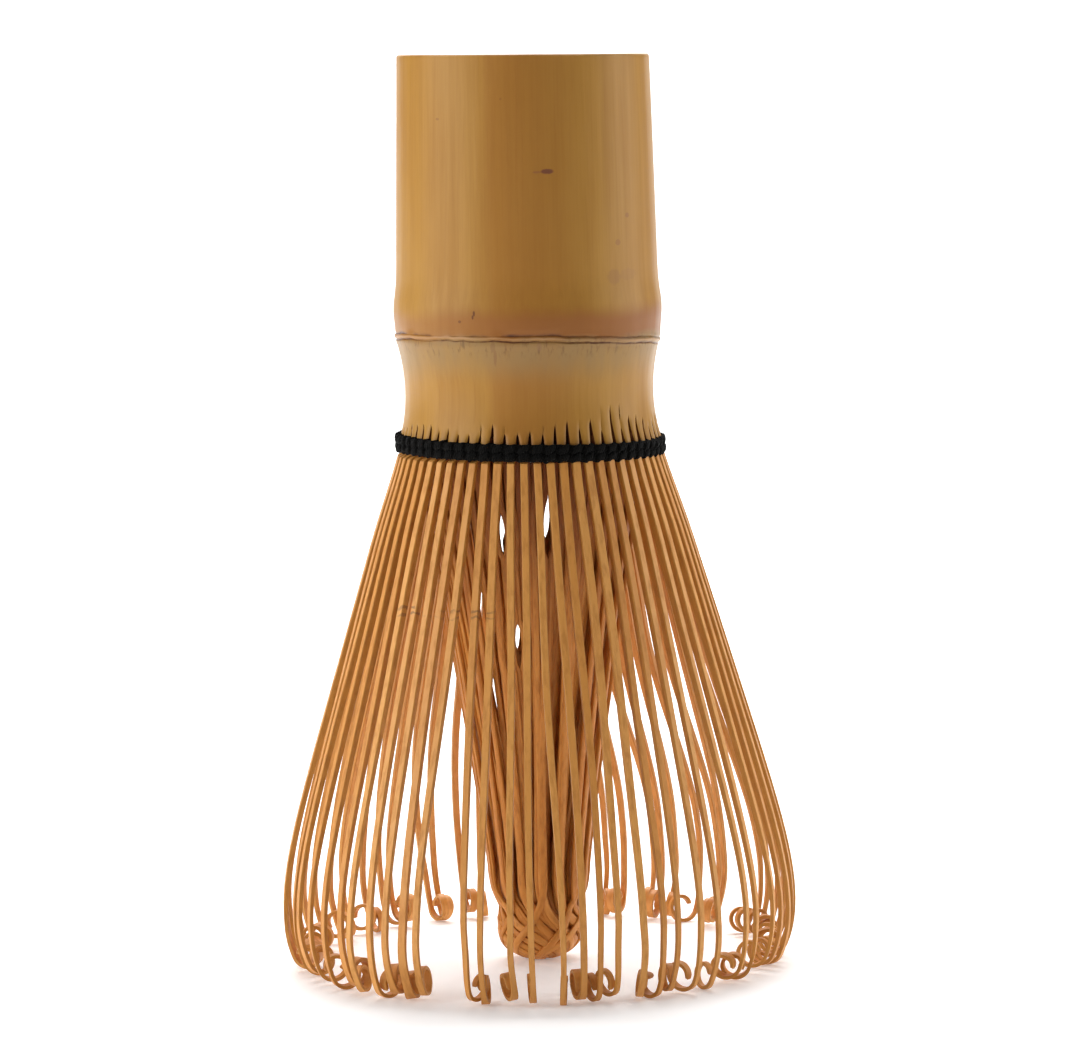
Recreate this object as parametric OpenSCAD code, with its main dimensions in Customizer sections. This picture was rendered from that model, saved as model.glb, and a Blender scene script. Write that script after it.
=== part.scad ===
// Bamboo tea whisk. One length of culm forms the grip, the joint ring and the collar.
// Below the collar its wall is split into long tines: the outer ones flare and curl,
// the inner ones gather into a core. Black thread is twined round the tine roots.
// The whisk stands on its tine tips at z = 0, with its axis along Z. Millimetres.

/* [Culm] */
// Height of the whole whisk
total_h = 103; // [98:1:108]
// Radius of the grip at its cut end
grip_r = 14.15; // [13.6:0.05:14.6]
// Swelling of the grip just above the joint
swell = 1; // [0.5:0.05:1.2]
// Radius of the hollow in the grip
hollow_r = 10.5; // [9:0.1:11.5]
// Height of the joint's scar line
scar_z = 71.1; // [69:0.1:73]
// Radius of the scar line
scar_r = 14.95; // [14.5:0.05:15.3]
// Radius of the collar's waist
waist_r = 14; // [13.6:0.05:14.2]

/* [Outer tines] */
// Tines split from each sixteenth of the culm
per_split = 4; // [3:1:4]
// Height of the flexing line, just under the thread
flex_z = 58; // [57:0.1:58.2]
// Distance of a tine's middle from the axis at the flexing line
root_r = 14.85; // [14.7:0.05:15]
// Width of a tine at its root
root_w = 0.92; // [0.8:0.02:0.96]
// Width of a tine at its tip
tip_w = 0.72; // [0.5:0.02:0.76]
// Thickness of a tine at its root
root_t = 0.9; // [0.6:0.02:0.94]
// Thickness of a tine at its tip
tip_t = 0.4; // [0.25:0.01:0.4]
// Splay of a tine from the axis, in degrees
splay = 16.9; // [14:0.1:19]
// Length of a tine from the thread to its curl
tine_len = 59.2; // [55:0.1:62]
// Radius of the curl at a tip
curl_r = 1.45; // [1.2:0.05:1.7]

/* [Inner tines] */
// Distance of an inner tine's root from the axis
inner_root_r = 13.2; // [12.8:0.05:13.25]
// Distance of the outermost of the core's four layers from the axis
core_r = 4.8; // [4.6:0.1:5.4]
// Step between those layers
layer_step = 1.1; // [1:0.02:1.15]
// Turn of the core's twisted end, in degrees
core_twist = 75; // [0:5:90]

/* [Thread] */
// Thickness of the thread
thread_d = 0.5; // [0.4:0.05:0.55]
// Height of the middle of the binding
binding_z = 59.25; // [59.1:0.05:59.4]

/* [Hidden] */
splits = 16;
tines = splits * per_split;
pitch = 360 / tines;

// Culm
node_top = scar_z + 1;
node_bottom = scar_z - 1;
septum_t = 1.3;
bulge_h = 0.3;
bulge_w = 2.2;
bulge_z = scar_z + 3.4;
ridge_h = 0.15;
ridge_w = 0.25;
end_bevel = 0.3;
ledge_z = 61;
waist_z = 65;
flare_rate = 0.028;
teeth_inner_r = 13.8;
teeth_outer_r = 14.8;
teeth_z = flex_z + 0.1;
notch_half_w = 0.25;
notch_depth = 3;
notch_z = 60.4;
notch_rise = 1.4;
profile_step = 0.75;

// Outer tines
curl_start = -24;
bend_power = 9;
body_rings = 11;
curl_rings = 9;
// Where each tip has drifted to round the whisk, in degrees from its root: tines that
// were wetted and dried lean together in small bunches. The back half, then the front.
tip_drift = [
    0.4, 1.0, 0.2, -1.8,   -2.0, -4.4, 4.0, 1.0,    0.8, 2.6, 0.2, -3.3,  -1.3, -1.9, 0.5, 0.2,
    0.0, 0.4, 0.2, -1.0,    0.2, -3.2, 2.0, -1.2,  -1.4, 0.0, -1.2, 1.3,   1.1, 0.6, 1.0, 0.6,
    0.4, 1.4, 2.6, 3.0,     3.0, 4.2, 4.0, 2.4,     2.2, 0.6, -0.6, -2.7,  3.2, 1.1, 2.5, 1.1,
    2.1, 1.1, -0.8, -2.4,  -2.6, -3.4, -5.8, -5.4, -5.4, -0.8, -2.4, 0.4,  0.3, -1.0, -1.0, -0.2];
// How late along a tine its width and its thickness go down
width_taper = 2.5;
thickness_taper = 1.3;
// How soon along a tine its drift sets in: under 1 is soon
drift_power = 0.8;
// Turn of each curl, in degrees, repeated round the whisk
curl_turns = [285, 240, 300, 262, 228, 290, 250, 305, 270, 235, 295];
// Most that a curl's lowest point stays above the resting plane
lift_max = 0.7;

// Inner tines
inner_top = ledge_z;
inner_bottom = 0.6;
core_tuck = 0.12;
inner_lean = 1.14;
neck_softness = 0.02;
neck_z = 9;
inner_rings = [0, 0.14, 0.3, 0.46, 0.62, 0.75, 0.86, 0.91, 0.955, 1];
inner_root_w = 0.9;
inner_tip_w = 0.42;
inner_root_t = 0.5;
inner_tip_t = 0.3;

// Thread
row_gap = 1.16;
weave_r = 14.3;
weave_depth = 0.78;
weave_rise = 0.27;
steps_per_wave = 4;
knot_r = 0.7;
knot_tail = 1.5;

function numbered(stem, g) = str(stem, g < 10 ? "0" : "", g);
function blend(a, b, t) = a + (b - a) * t;
function turned(p, angle) = [p.x * cos(angle) - p.y * sin(angle), p.x * sin(angle) + p.y * cos(angle), p.z];

// ---- Culm --------------------------------------------------------------------------

// Outer radius of the grip above the joint: a slow taper and a swelling over the joint
function grip_radius(z) =
    grip_r
    + (swell - bulge_h) * (total_h - z) / (total_h - node_top)
    + bulge_h * exp(-pow((z - bulge_z) / bulge_w, 2));

// Outer radius of the collar: a waist below the joint, then a flare into the tine roots
function collar_radius(z) =
    waist_r + (z > waist_z
        ? (scar_r - waist_r) * pow((z - waist_z) / (scar_z - waist_z), 2)
        : flare_rate * pow(waist_z - z, 2));

function steps(low, high) = let (n = ceil((high - low) / profile_step))
    [for (i = [0 : n]) blend(low, high, i / n)];

module upper_internode() {
    color("burlywood")
    rotate_extrude($fn = 96)
        polygon(concat(
            [[hollow_r, total_h], [hollow_r, node_top]],
            [for (z = steps(node_top, total_h - end_bevel)) [grip_radius(z), z]],
            [[grip_radius(total_h) - end_bevel, total_h]]));
}

// The joint: an outer ring with its raised scar line, closed across by the septum
module node_septum() {
    color("tan")
    rotate_extrude($fn = 96)
        polygon([
            [0, node_top], [grip_radius(node_top), node_top],
            [scar_r - ridge_h, scar_z + ridge_w], [scar_r, scar_z], [scar_r - ridge_h, scar_z - ridge_w],
            [collar_radius(node_bottom), node_bottom], [hollow_r, node_bottom],
            [hollow_r - 1, node_top - septum_t], [0, node_top - septum_t]]);
}

// The collar, whose lower edge is notched into the roots of the outer tines
module lower_internode() {
    color("burlywood")
    difference() {
        rotate_extrude($fn = 96)
            polygon(concat(
                [[hollow_r, node_bottom], [hollow_r, ledge_z]],
                [[teeth_inner_r, ledge_z], [teeth_inner_r, teeth_z], [teeth_outer_r, teeth_z]],
                [for (z = steps(notch_z, node_bottom)) [min(collar_radius(z), teeth_outer_r), z]]));
        for (i = [0 : tines - 1])
            rotate(i * pitch) root_notch(ledge_z + 0.5 + notch_rise * abs(sin(i * 77)));
    }
}

// A slit between two tine roots: even under the thread and closing to a point above it
module root_notch(apex_z) {
    translate([teeth_outer_r + 1 - notch_depth, 0, 0])
    rotate([90, 0, 90])
    linear_extrude(notch_depth)
        polygon([
            [-notch_half_w, teeth_z - 0.5], [notch_half_w, teeth_z - 0.5],
            [notch_half_w, notch_z], [0, apex_z], [-notch_half_w, notch_z]]);
}

// ---- Tines -------------------------------------------------------------------------

// A closed skin over rings of four points each
module four_sided(rings) {
    n = len(rings);
    polyhedron(
        points = [for (ring = rings, p = ring) p],
        faces = concat(
            [[0, 1, 2, 3]],
            [for (k = [0 : n - 2], s = [0 : 3]) let (a = 4 * k, e = (s + 1) % 4)
                each [[a + s, a + 4 + s, a + 4 + e], [a + s, a + 4 + e, a + e]]],
            [[4 * n - 1, 4 * n - 2, 4 * n - 3, 4 * n - 4]]));
}

// Heading of an outer tine along its length, in degrees outward from straight down
function heading(t) = splay - (splay - curl_start) * pow(t, bend_power);

// Lengths along the tine where rings stand, closer together towards the bend
function body_t(k) = 1 - pow(1 - k / body_rings, 1.7);

function down(angle, step) = [step * sin(angle), -step * cos(angle)];

// Points of a tine's middle line as [distance from the axis, height], with no lift yet
function tine_line(curl_turn) =
    let (
        body = [for (k = 0, p = [root_r, flex_z]; k <= body_rings;
                     p = p + down(heading((body_t(k) + body_t(k + 1)) / 2),
                                  tine_len * (body_t(min(k + 1, body_rings)) - body_t(k))),
                     k = k + 1) p],
        turn = curl_turn / curl_rings,
        chord = 2 * curl_r * sin(turn / 2),
        curl = [for (k = 0, p = body[body_rings] + down(curl_start - turn / 2, chord); k < curl_rings;
                     k = k + 1, p = p + down(curl_start - turn * (k + 0.5), chord)) p])
    concat(body, curl);

// The heading at each of those points
function tine_headings(curl_turn) = concat(
    [for (k = [0 : body_rings]) heading(body_t(k))],
    [for (k = [1 : curl_rings]) curl_start - k * curl_turn / curl_rings]);

module outer_tine(i) {
    curl_turn = curl_turns[i % len(curl_turns)];
    line = tine_line(curl_turn);
    headings = tine_headings(curl_turn);
    lowest = min([for (p = line) p.y]) - tip_t / 2;
    lift = lift_max * (i * 5 % 8) / 7;
    stretch = (flex_z - lift) / (flex_z - lowest);
    last = len(line) - 1;
    four_sided([for (k = [0 : last]) let (
            along = min(k / body_rings, 1),
            s = k <= body_rings ? body_t(k) : 1,
            w = blend(root_w, tip_w, pow(s, width_taper)) / 2,
            h = blend(root_t, tip_t, pow(s, thickness_taper)) / 2,
            z = flex_z - (flex_z - line[k].y) * stretch,
            across = [cos(headings[k]), sin(headings[k])],
            azimuth = (i + 0.5) * pitch + tip_drift[i % len(tip_drift)] * pow(s, drift_power))
        [for (c = [[-1, -1], [1, -1], [1, 1], [-1, 1]])
            turned([line[k].x + c.y * h * across.x, c.x * w, z + c.y * h * across.y], azimuth)]]);
}

module outer_tines(g) {
    color("peru")
    for (i = [0 : per_split - 1]) outer_tine(per_split * (g - 1) + i);
}

// How far in an inner tine has come, from 0 at its root to 1 in the core: a straight
// lean that eases into an upright neck
function gathered(t) =
    let (lean = inner_lean * t)
    (1 + lean - sqrt(pow(1 - lean, 2) + neck_softness)) / 2;

// An inner tine leans in from the collar to its layer of the core, then twists at the end
module inner_tine(i) {
    layer = i % per_split;
    tip_r = core_r - layer * layer_step;
    four_sided([for (t = inner_rings) let (
            z = blend(inner_top, inner_bottom, t),
            below_neck = max((neck_z - z) / (neck_z - inner_bottom), 0),
            r = blend(inner_root_r, tip_r, gathered(t)) - core_tuck * tip_r * pow(below_neck, 2),
            twist = core_twist * below_neck,
            w = blend(inner_root_w, inner_tip_w, t) / 2,
            h = blend(inner_root_t, inner_tip_t, t) / 2)
        [for (c = [[-1, -1], [1, -1], [1, 1], [-1, 1]])
            turned([r + c.y * h, c.x * w, z], i * pitch + twist)]]);
}

module inner_tines(g) {
    color("chocolate")
    for (i = [0 : per_split - 1]) inner_tine(per_split * (g - 1) + i);
}

// ---- Thread ------------------------------------------------------------------------

// One strand of a twined row: outside every second root and inside the ones between
module strand(z, phase) {
    n = tines / 2 * steps_per_wave;
    rings = [for (k = [0 : n - 1]) let (
            azimuth = pitch / 2 + k * 360 / n,
            wave = k * 360 / steps_per_wave + phase,
            r = weave_r + weave_depth * cos(wave),
            rise = z + weave_rise * sin(wave))
        [for (c = [[-1, 0], [0, -1], [1, 0], [0, 1]])
            turned([r + c.x * thread_d / 2, 0, rise + c.y * thread_d / 2], azimuth)]];
    polyhedron(
        points = [for (ring = rings, p = ring) p],
        faces = [for (k = [0 : n - 1], s = [0 : 3]) let (
                    a = 4 * k, b = 4 * ((k + 1) % n), e = (s + 1) % 4)
                each [[a + s, a + e, b + e], [a + s, b + e, b + s]]]);
}

module thread_row(z) {
    color("#141816") {
        strand(z, 0);
        strand(z, 180);
    }
}

// The tie-off at the back of the binding: a small round knot with a cut end
module thread_knot() {
    color("#141816")
    translate([0, weave_r + weave_depth + thread_d / 2 + knot_r, binding_z])
    rotate_extrude($fn = 32)
        polygon(concat(
            [[0, -knot_r - knot_tail], [thread_d / 2, -knot_r - knot_tail]],
            [for (a = [-65 : 10 : 85]) knot_r * [cos(a), sin(a)]],
            [[0, knot_r]]));
}

// ---- Nodes -------------------------------------------------------------------------

upper_internode();
node_septum();
lower_internode();
thread_row(binding_z + row_gap / 2);  // thread_row_upper
thread_row(binding_z - row_gap / 2);  // thread_row_lower
thread_knot();
for (g = [1 : splits]) {
    inner_tines(g);
    outer_tines(g);
}
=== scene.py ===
import math
import random

import bmesh
import bpy
from mathutils import Matrix, Vector, noise


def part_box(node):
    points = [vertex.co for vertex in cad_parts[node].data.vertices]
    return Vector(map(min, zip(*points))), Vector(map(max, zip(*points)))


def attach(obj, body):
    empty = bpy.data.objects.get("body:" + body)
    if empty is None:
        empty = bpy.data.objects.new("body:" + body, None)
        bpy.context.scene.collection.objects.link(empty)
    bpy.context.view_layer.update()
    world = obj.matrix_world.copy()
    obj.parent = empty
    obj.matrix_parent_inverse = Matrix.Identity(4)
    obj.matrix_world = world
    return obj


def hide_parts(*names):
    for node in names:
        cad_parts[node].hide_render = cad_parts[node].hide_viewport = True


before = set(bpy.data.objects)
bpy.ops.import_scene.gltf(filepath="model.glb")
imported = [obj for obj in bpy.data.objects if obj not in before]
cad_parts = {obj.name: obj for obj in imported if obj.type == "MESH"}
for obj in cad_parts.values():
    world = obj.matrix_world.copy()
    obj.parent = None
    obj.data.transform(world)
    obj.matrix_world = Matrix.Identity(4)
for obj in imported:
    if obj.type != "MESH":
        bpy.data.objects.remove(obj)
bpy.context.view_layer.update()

# A bamboo tea whisk. Lengths are worked out in millimetres and angles in degrees, as in
# the CAD model, and every mesh is scaled to metres once, where it is made.
MM = 0.001
random.seed(7)

# ---- Sizes, from the CAD frame -----------------------------------------------------


def cad_mm(node):
    """Lowest and highest corners of a CAD node, in millimetres."""
    low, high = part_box(node)
    return [c / MM for c in low], [c / MM for c in high]


TOTAL_H = cad_mm("upper_internode")[1][2]
NODE_LOW, NODE_HIGH = (corner[2] for corner in cad_mm("node_septum"))
SPLITS = sum(name.startswith("outer_tines_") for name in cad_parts)
PER_SPLIT = 4
TINES = SPLITS * PER_SPLIT
PITCH = 360 / TINES

# the culm: its grip, the bulge and scar of its joint, and the waisted collar
GRIP_R = 14.15
SWELL = 1.0
BULGE_H, BULGE_W, BULGE_RISE = 0.3, 2.2, 3.4
HOLLOW_R = 10.5
SCAR_Z = 71.1
SCAR_R = 14.9
WAIST_Z = 65
WAIST_R = 14
WAIST_FLARE = 0.028

# the outer tines: strips that widen and thin from root to tip, splay, bend in and curl
FLEX_Z = 58
ROOT_R = 14.85
ROOT_W, TIP_W, WIDTH_TAPER = 0.9, 0.6, 2.0
ROOT_T, TIP_T, THICKNESS_TAPER = 0.9, 0.4, 1.3
SPLAY = 16.9
TINE_LEN = 59.2
CURL_R = 1.45
CURL_START = -24
BEND_POWER = 9
DRIFT_POWER = 0.8
# how far round the whisk each tip has drifted, in degrees
TIP_DRIFT = [
    0.4, 1.0, 0.2, -1.8, -2.0, -4.4, 4.0, 1.0, 0.8, 2.6, 0.2, -3.3, -1.3, -1.9, 0.5, 0.2,
    0.0, 0.4, 0.2, -1.0, 0.2, -3.2, 2.0, -1.2, -1.4, 0.0, -1.2, 1.3, 1.1, 0.6, 1.0, 0.6,
    0.4, 1.4, 2.6, 3.0, 3.0, 4.2, 4.0, 2.4, 2.2, 0.6, -0.6, -2.7, 3.2, 1.1, 2.5, 1.1,
    2.1, 1.1, -0.8, -2.4, -2.6, -3.4, -5.8, -5.4, -5.4, -0.8, -2.4, 0.4, 0.3, -1.0, -1.0, -0.2]
# how far the curls turn, in degrees, before each one's own extra turn
CURL_TURNS = [285, 240, 300, 262, 228, 290, 250, 305, 270, 235, 295]

# the inner tines, which lean in and gather into a core
INNER_ROOT_R = 13.2
INNER_TOP = 61
CORE_R = 4.8
LAYER_STEP = 1.1
INNER_LEAN = 1.14
NECK_SOFTNESS = 0.02

# the thread's two twined rows
BINDING_Z = 59.17
WEAVE_R = 14.3
WEAVE_DEPTH = 0.78
ROW_GAP = 1.16
# the drawn rows lie closer together than the CAD's, at this share of their gap
ROW_CLOSE = 0.78
BINDING_TILT = 0.4


def blend(a, b, t):
    return a + (b - a) * t


def smooth(t):
    """0 below 0, 1 above 1, and an S-curve between."""
    t = min(max(t, 0.0), 1.0)
    return t * t * (3 - 2 * t)


def polar(r, angle, z):
    """The point at that radius and angle round the axis, angle in degrees from +X."""
    a = math.radians(angle)
    return Vector((r * math.cos(a), r * math.sin(a), z))


def rough(x, y, z):
    """Smooth noise from -1 to 1 at a point."""
    return noise.noise(Vector((x, y, z)))


def rough_round(angle, pace, seed):
    """Smooth noise from -1 to 1 round the axis; a greater pace is finer."""
    return noise.noise(polar(pace, angle, seed))


# ---- Meshes ------------------------------------------------------------------------


class Skin:
    """The mesh of one piece as it grows: its points carry the tint and the place along
    and across the grain that the materials read, and its faces a material number."""

    def __init__(self):
        self.points = []
        self.tint = []
        self.along = []
        self.across = []
        self.faces = []
        self.looks = []

    def point(self, place, tint=0.0, along=0.0, across=0.0):
        self.points.append(tuple(c * MM for c in place))
        self.tint.append(tint)
        self.along.append(along)
        self.across.append(across)
        return len(self.points) - 1

    def face(self, corners, look=0):
        self.faces.append(tuple(corners))
        self.looks.append(look)

    def grid(self, rows, look=0, closed=True, flip=False):
        """Quads between rows of points; closed joins each row's last point to its first."""
        for low, high in zip(rows, rows[1:]):
            count = len(low)
            for s in range(count if closed else count - 1):
                e = (s + 1) % count
                corners = (low[s], low[e], high[e], high[s])
                self.face(reversed(corners) if flip else corners, look)

    def sweep(self, rings, tint, closed=False, side_looks=None):
        """A tube through rings of places, capped unless it closes on itself. side_looks
        gives a material number to each side of the tube."""
        rows, along, before = [], 0.0, None
        for ring in rings:
            middle = sum(ring, Vector()) / len(ring)
            along += (middle - before).length if before else 0.0
            before = middle
            rows.append([self.point(p, tint, along, k / len(ring)) for k, p in enumerate(ring)])
        first = len(self.faces)
        self.grid(rows + rows[:1] if closed else rows)
        if side_looks:
            for n in range(first, len(self.faces)):
                self.looks[n] = side_looks[(n - first) % len(side_looks)]
        if not closed:
            self.face(reversed(rows[0]))
            self.face(rows[-1])

    def build(self, name, body, node, looks, merge=0.0, sharp=38):
        """The finished piece, riding on its body in place of its CAD node."""
        mesh = bpy.data.meshes.new(name)
        mesh.from_pydata(self.points, [], self.faces)
        for key in ("tint", "along", "across"):
            mesh.attributes.new(key, "FLOAT", "POINT").data.foreach_set("value", getattr(self, key))
        for look in looks:
            mesh.materials.append(look)
        mesh.polygons.foreach_set("material_index", self.looks)
        work = bmesh.new()
        work.from_mesh(mesh)
        if merge:
            bmesh.ops.remove_doubles(work, verts=work.verts, dist=merge * MM)
        bmesh.ops.recalc_face_normals(work, faces=work.faces)
        for edge in work.edges:
            edge.smooth = len(edge.link_faces) == 2 and edge.calc_face_angle(0) < math.radians(sharp)
        for face in work.faces:
            face.smooth = True
        work.to_mesh(mesh)
        work.free()
        piece = bpy.data.objects.new(name, mesh)
        bpy.context.scene.collection.objects.link(piece)
        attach(piece, body)
        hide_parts(node)
        return piece


def section(middle, out, side, width, thick, edge=0.2):
    """Eight points round a strip of that width and thickness, with bevelled edges."""
    a, h = width / 2, thick / 2
    c = edge * h
    corners = [(-a, h - c), (c - a, h), (a - c, h), (a, h - c),
               (a, c - h), (a - c, -h), (c - a, -h), (-a, c - h)]
    return [middle + side * x + out * y for x, y in corners]


# ---- Materials ---------------------------------------------------------------------


class Look:
    """A procedural material, built node by node."""

    def __init__(self, name, roughness=0.5, specular=0.5):
        self.material = bpy.data.materials.new(name)
        self.material.use_nodes = True
        self.tree = self.material.node_tree
        self.shader = self.tree.nodes["Principled BSDF"]
        self.shader.inputs["Roughness"].default_value = roughness
        self.shader.inputs["Specular IOR Level"].default_value = specular
        self.place = self.node("ShaderNodeTexCoord").outputs["Object"]
        split = self.node("ShaderNodeSeparateXYZ", {0: self.place})
        self.x, self.y, self.z = split.outputs

    def node(self, kind, inputs=None, **settings):
        made = self.tree.nodes.new(kind)
        for key, value in settings.items():
            setattr(made, key, value)
        for key, value in (inputs or {}).items():
            if isinstance(value, bpy.types.NodeSocket):
                self.tree.links.new(value, made.inputs[key])
            else:
                made.inputs[key].default_value = value
        return made

    def math(self, operation, a, b=0.0):
        return self.node("ShaderNodeMath", {0: a, 1: b}, operation=operation).outputs[0]

    def times(self, *factors):
        product = factors[0]
        for factor in factors[1:]:
            product = self.math("MULTIPLY", product, factor)
        return product

    def plus(self, a, b):
        return self.math("ADD", a, b)

    def attribute(self, name):
        return self.node("ShaderNodeAttribute", attribute_name=name).outputs["Fac"]

    def stretched(self, vector, x, y, z):
        return self.node("ShaderNodeMapping", {"Vector": vector, "Scale": (x, y, z)}).outputs[0]

    def noise(self, vector, scale, detail=3.0, roughness=0.55):
        inputs = {"Vector": vector, "Scale": scale, "Detail": detail, "Roughness": roughness}
        return self.node("ShaderNodeTexNoise", inputs).outputs[0]

    def grain(self, scale, squash, detail=3.0, roughness=0.55):
        """Noise drawn out along the culm; a small squash makes long upright streaks."""
        return self.noise(self.stretched(self.place, 1, 1, squash), scale, detail, roughness)

    def around_zero(self, value, reach):
        """Noise from 0 to 1 turned into a wander of that reach either side of 0."""
        return self.times(self.math("SUBTRACT", value, 0.5), reach)

    def between(self, value, low, high, to_low=0.0, to_high=1.0):
        """value from low..high to to_low..to_high, smoothly, held at the ends."""
        inputs = {0: value, 1: low, 2: high, 3: to_low, 4: to_high}
        return self.node("ShaderNodeMapRange", inputs, interpolation_type="SMOOTHSTEP").outputs[0]

    def band(self, value, start, full, fade, end):
        """1 from full to fade, and 0 before start and past end. Millimetres."""
        rising = self.between(value, start * MM, full * MM)
        return self.times(rising, self.between(value, end * MM, fade * MM))

    def mix(self, factor, a, b):
        inputs = {0: factor, 6: a, 7: b}
        return self.node("ShaderNodeMix", inputs, data_type="RGBA").outputs[2]

    def spot(self, x, z, half_w, half_h, ragged=0.35):
        """1 inside a ragged oval on the front of the culm and 0 outside it. Millimetres."""
        dx = self.math("DIVIDE", self.math("SUBTRACT", self.x, x * MM), half_w * MM)
        dz = self.math("DIVIDE", self.math("SUBTRACT", self.z, z * MM), half_h * MM)
        reach = self.plus(self.times(dx, dx), self.times(dz, dz))
        reach = self.plus(reach, self.around_zero(self.noise(self.place, 1400.0, 2.0), 4 * ragged))
        front = self.between(self.y, 0.0, -4 * MM)
        return self.times(self.between(reach, 1.3, 0.45), front)

    def finish(self, colour, roughness=None, height=None, depth=0.0):
        self.tree.links.new(colour, self.shader.inputs["Base Color"])
        if roughness is not None:
            self.tree.links.new(roughness, self.shader.inputs["Roughness"])
        if height is not None:
            bump = self.node("ShaderNodeBump", {"Height": height, "Distance": depth, "Strength": 1.0})
            self.tree.links.new(bump.outputs[0], self.shader.inputs["Normal"])
        return self.material


def rgb(red, green, blue):
    """A colour given as it shows on screen, 0 to 255, as the shader's linear numbers."""
    def linear(c):
        c /= 255
        return c / 12.92 if c <= 0.04045 else ((c + 0.055) / 1.055) ** 2.4
    return (linear(red), linear(green), linear(blue), 1.0)


# nicks and specks on the skin's front: x, height, half width, half height, colour, strength
MARKS = (
    (2.45, 90.0, 0.72, 0.3, (110, 66, 54), 0.85),
    (1.3, 89.95, 0.5, 0.13, (140, 92, 60), 0.6),
    (-9.5, 95.9, 0.2, 0.14, (130, 86, 50), 0.5),
    (-2.5, 98.0, 0.14, 0.12, (130, 86, 50), 0.45),
    (10.1, 82.0, 0.3, 0.35, (150, 100, 60), 0.5),
    (11.2, 84.9, 0.22, 0.3, (140, 92, 56), 0.5),
    (9.6, 78.2, 0.75, 0.9, (146, 100, 60), 0.35),
    (11.2, 78.4, 0.9, 0.7, (150, 104, 64), 0.22),
    (-5.9, 74.6, 0.13, 0.3, (96, 56, 28), 0.85),
    (-6.05, 74.2, 0.11, 0.26, (96, 56, 28), 0.85),
    (-7.5, 73.7, 0.17, 0.15, (110, 66, 36), 0.75),
    (-3.9, 70.9, 0.3, 0.6, (132, 98, 62), 0.6),
    (-3.65, 69.7, 0.2, 0.9, (136, 98, 60), 0.65),
    (1.2, 70.9, 0.3, 0.55, (140, 104, 72), 0.5))


def bamboo_skin():
    """The culm's outer skin: upright fibres, clouds of tone, a stripe of painted shade down the front,
    the stained joint and marks.
    """
    look = Look("bamboo_skin", 0.45, 0.22)
    fibres = look.grain(4200.0, 0.012, 4.0, 0.6)
    streaks = look.grain(700.0, 0.03)
    clouds = look.grain(110.0, 0.45)
    colour = look.mix(look.between(streaks, 0.25, 0.75), rgb(176, 129, 57), rgb(165, 117, 48))
    colour = look.mix(look.between(clouds, 0.35, 0.75, 0.0, 0.5), colour, rgb(180, 136, 67))
    colour = look.mix(look.between(fibres, 0.4, 0.75, 0.0, 0.16), colour, rgb(138, 91, 38))
    # painted shade: a browner stripe down the front, where the culm lies between the reflections of the
    # two side lights
    front = look.between(look.y, -4 * MM, -10 * MM)
    painted_shade_stripe = look.times(look.band(look.x, -5.6, -3.0, 1.0, 8.5), front, 0.5)
    colour = look.mix(painted_shade_stripe, colour, rgb(154, 98, 42))
    # the stain over the joint: soft above, strongest in front and on the right
    height = look.plus(look.z, look.around_zero(clouds, 2.2 * MM))
    stain = look.band(height, SCAR_Z - 1.1, SCAR_Z + 0.5, SCAR_Z + 2.3, SCAR_Z + 4.6)
    side = look.between(look.x, -14 * MM, 2 * MM, 0.55, 0.95)
    colour = look.mix(look.times(stain, side), colour, rgb(146, 91, 42))
    # the greyish bloom under the scar
    bloom = look.band(height, SCAR_Z - 4.9, SCAR_Z - 1.1, SCAR_Z + 0.1, SCAR_Z + 1.1)
    bloom = look.times(bloom, look.between(streaks, 0.2, 0.7, 0.55, 0.85))
    colour = look.mix(bloom, colour, rgb(150, 120, 76))
    # dirt caught in and just under the scar
    flecks = look.between(look.grain(2200.0, 0.25), 0.5, 0.75)
    dirt = look.band(look.z, SCAR_Z - 2.1, SCAR_Z - 0.3, SCAR_Z + 0.3, SCAR_Z + 1.1)
    colour = look.mix(look.times(flecks, dirt, 0.6), colour, rgb(96, 70, 44))
    # the scar's dark grooves and the pale lip between them
    scar = look.attribute("tint")
    broken = look.between(look.noise(look.place, 900.0), 0.3, 0.6, 0.45, 1.0)
    grooves = look.times(look.between(scar, 0.2, 0.85), broken)
    colour = look.mix(grooves, colour, rgb(92, 56, 36))
    colour = look.mix(look.between(scar, -0.2, -0.8, 0.0, 0.55), colour, rgb(188, 144, 100))
    for x, z, half_w, half_h, mark, strength in MARKS:
        inside = look.times(look.spot(x, z, half_w, half_h), strength)
        colour = look.mix(inside, colour, rgb(*mark))
    roughness = look.between(streaks, 0.2, 0.8, 0.34, 0.46)
    relief = look.plus(look.times(fibres, 0.6), look.times(streaks, 0.6))
    return look.finish(colour, roughness, relief, 0.015 * MM)


def bamboo_end():
    """Sawn end grain: dark bundles of fibre in paler pith, packed closer near the skin."""
    look = Look("bamboo_end", 0.75, 0.3)
    drawn = look.stretched(look.place, 1, 1, 0.05)
    spots = look.node("ShaderNodeTexVoronoi", {"Vector": drawn, "Scale": 1500.0})
    bundles = look.between(spots.outputs["Distance"], 0.22, 0.42)
    level = look.stretched(look.place, 1, 1, 0)
    radius = look.node("ShaderNodeVectorMath", {0: level}, operation="LENGTH")
    depth = look.between(radius.outputs["Value"], HOLLOW_R * MM, 14.2 * MM)
    pith = look.mix(depth, rgb(226, 196, 140), rgb(196, 152, 90))
    colour = look.mix(bundles, rgb(140, 94, 48), pith)
    dust = look.noise(look.place, 700.0, 4.0)
    colour = look.mix(look.between(dust, 0.4, 0.8, 0.0, 0.4), colour, rgb(176, 134, 80))
    return look.finish(colour, None, bundles, 0.04 * MM)


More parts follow.
